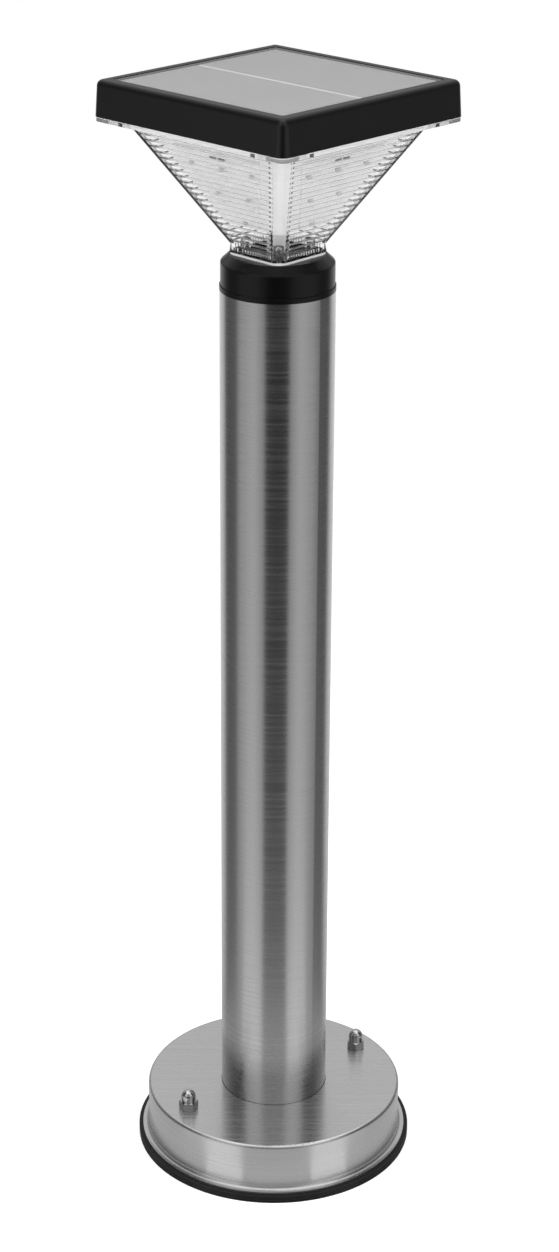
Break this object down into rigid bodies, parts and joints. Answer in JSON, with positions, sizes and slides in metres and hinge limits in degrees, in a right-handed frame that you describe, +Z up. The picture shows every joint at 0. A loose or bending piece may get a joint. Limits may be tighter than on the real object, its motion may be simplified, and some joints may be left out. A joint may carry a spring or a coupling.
{
  "type": "solar bollard light",
  "caption": "Free-standing solar bollard light: round brushed post on a drawn round base, ribbed clear funnel lens and a square black head with a solar panel on top.",
  "frame": {"origin": "on the post's axis, at the underside of the base gasket", "axes": "+Z up along the post, X and Y along the sides of the square head"},
  "size_m": [0.1984, 0.1984, 0.778],
  "materials": {
    "black_rubber": "matt moulded rubber",
    "seal_rubber": "soft black rubber",
    "brushed_stainless": "satin, brushed round the tube and the wall and straight across the top",
    "weld_steel": "as welded",
    "zinc_steel": "zinc plated",
    "screw_steel": "plain bright steel",
    "bright_steel": "polished",
    "black_plastic": "moulded satin black",
    "switch_plastic": "moulded black",
    "button_rubber": "soft dark rubber",
    "clear_plastic": "clear, moulded, glossy",
    "white_plastic": "moulded white",
    "board_white": "white solder mask",
    "board_green": "green solder mask",
    "led_phosphor": "pale phosphor",
    "dark_component": "moulded",
    "cell_wrap": "shrink wrap",
    "lead_insulation": "wire insulation",
    "solar_silicon": "dull silicon under a clear sheet",
    "bus_metal": "tinned strip",
    "panel_clear": "clear sheet with a fine matt face"
  },
  "bodies": {
    "post": {"base_gasket": "black_rubber", "base_cover": "brushed_stainless", "mounting_bracket": "zinc_steel", "anchor_studs": "zinc_steel", "stud_nuts": "zinc_steel", "cap_nuts": "bright_steel", "post_tube": "brushed_stainless", "post_weld": "weld_steel"},
    "sealing_rings": {"spigot_rings": "seal_rubber"},
    "head": {"collar": "black_plastic", "spigot_cap": "black_plastic", "cap_screws": "screw_steel", "switch_body": "switch_plastic", "switch_nut": "screw_steel", "neck_seal": "seal_rubber", "neck_screws": "screw_steel", "lens": "clear_plastic", "lens_seal": "seal_rubber", "flange_screws": "screw_steel", "led_carrier": "white_plastic", "led_board_front": "board_white", "led_board_right": "board_white", "led_board_back": "board_white", "led_board_left": "board_white", "led_chips": "led_phosphor", "led_resistors": "dark_component", "board_connectors": "dark_component", "inner_plate": "white_plastic", "plate_screws": "screw_steel", "battery_tray": "black_plastic", "battery_cells": "cell_wrap", "battery_contacts": "screw_steel", "control_board": "board_green", "board_parts": "dark_component", "switch_leads": "lead_insulation", "panel_leads": "lead_insulation", "housing": "black_plastic", "panel_seal": "seal_rubber", "panel_backing": "solar_silicon", "solar_cells": "solar_silicon", "bus_ribbon": "bus_metal", "panel_cover": "panel_clear"},
    "button": {"switch_button": "button_rubber"}
  },
  "joints": [
    {"name": "head_lift", "type": "slide", "parent": "post", "child": "sealing_rings", "axis": [0, 0, 1], "range_m": [0, 0.06]},
    {"name": "head_turn", "type": "hinge", "parent": "sealing_rings", "child": "head", "pos_m": [0, 0, 0.66], "axis": [0, 0, 1], "continuous": true},
    {"name": "switch_press", "type": "slide", "parent": "head", "child": "button", "axis": [0, 0, 1], "range_m": [0, 0.002], "stiffness_N_per_m": 300, "springref_m": -0.002}
  ]
}
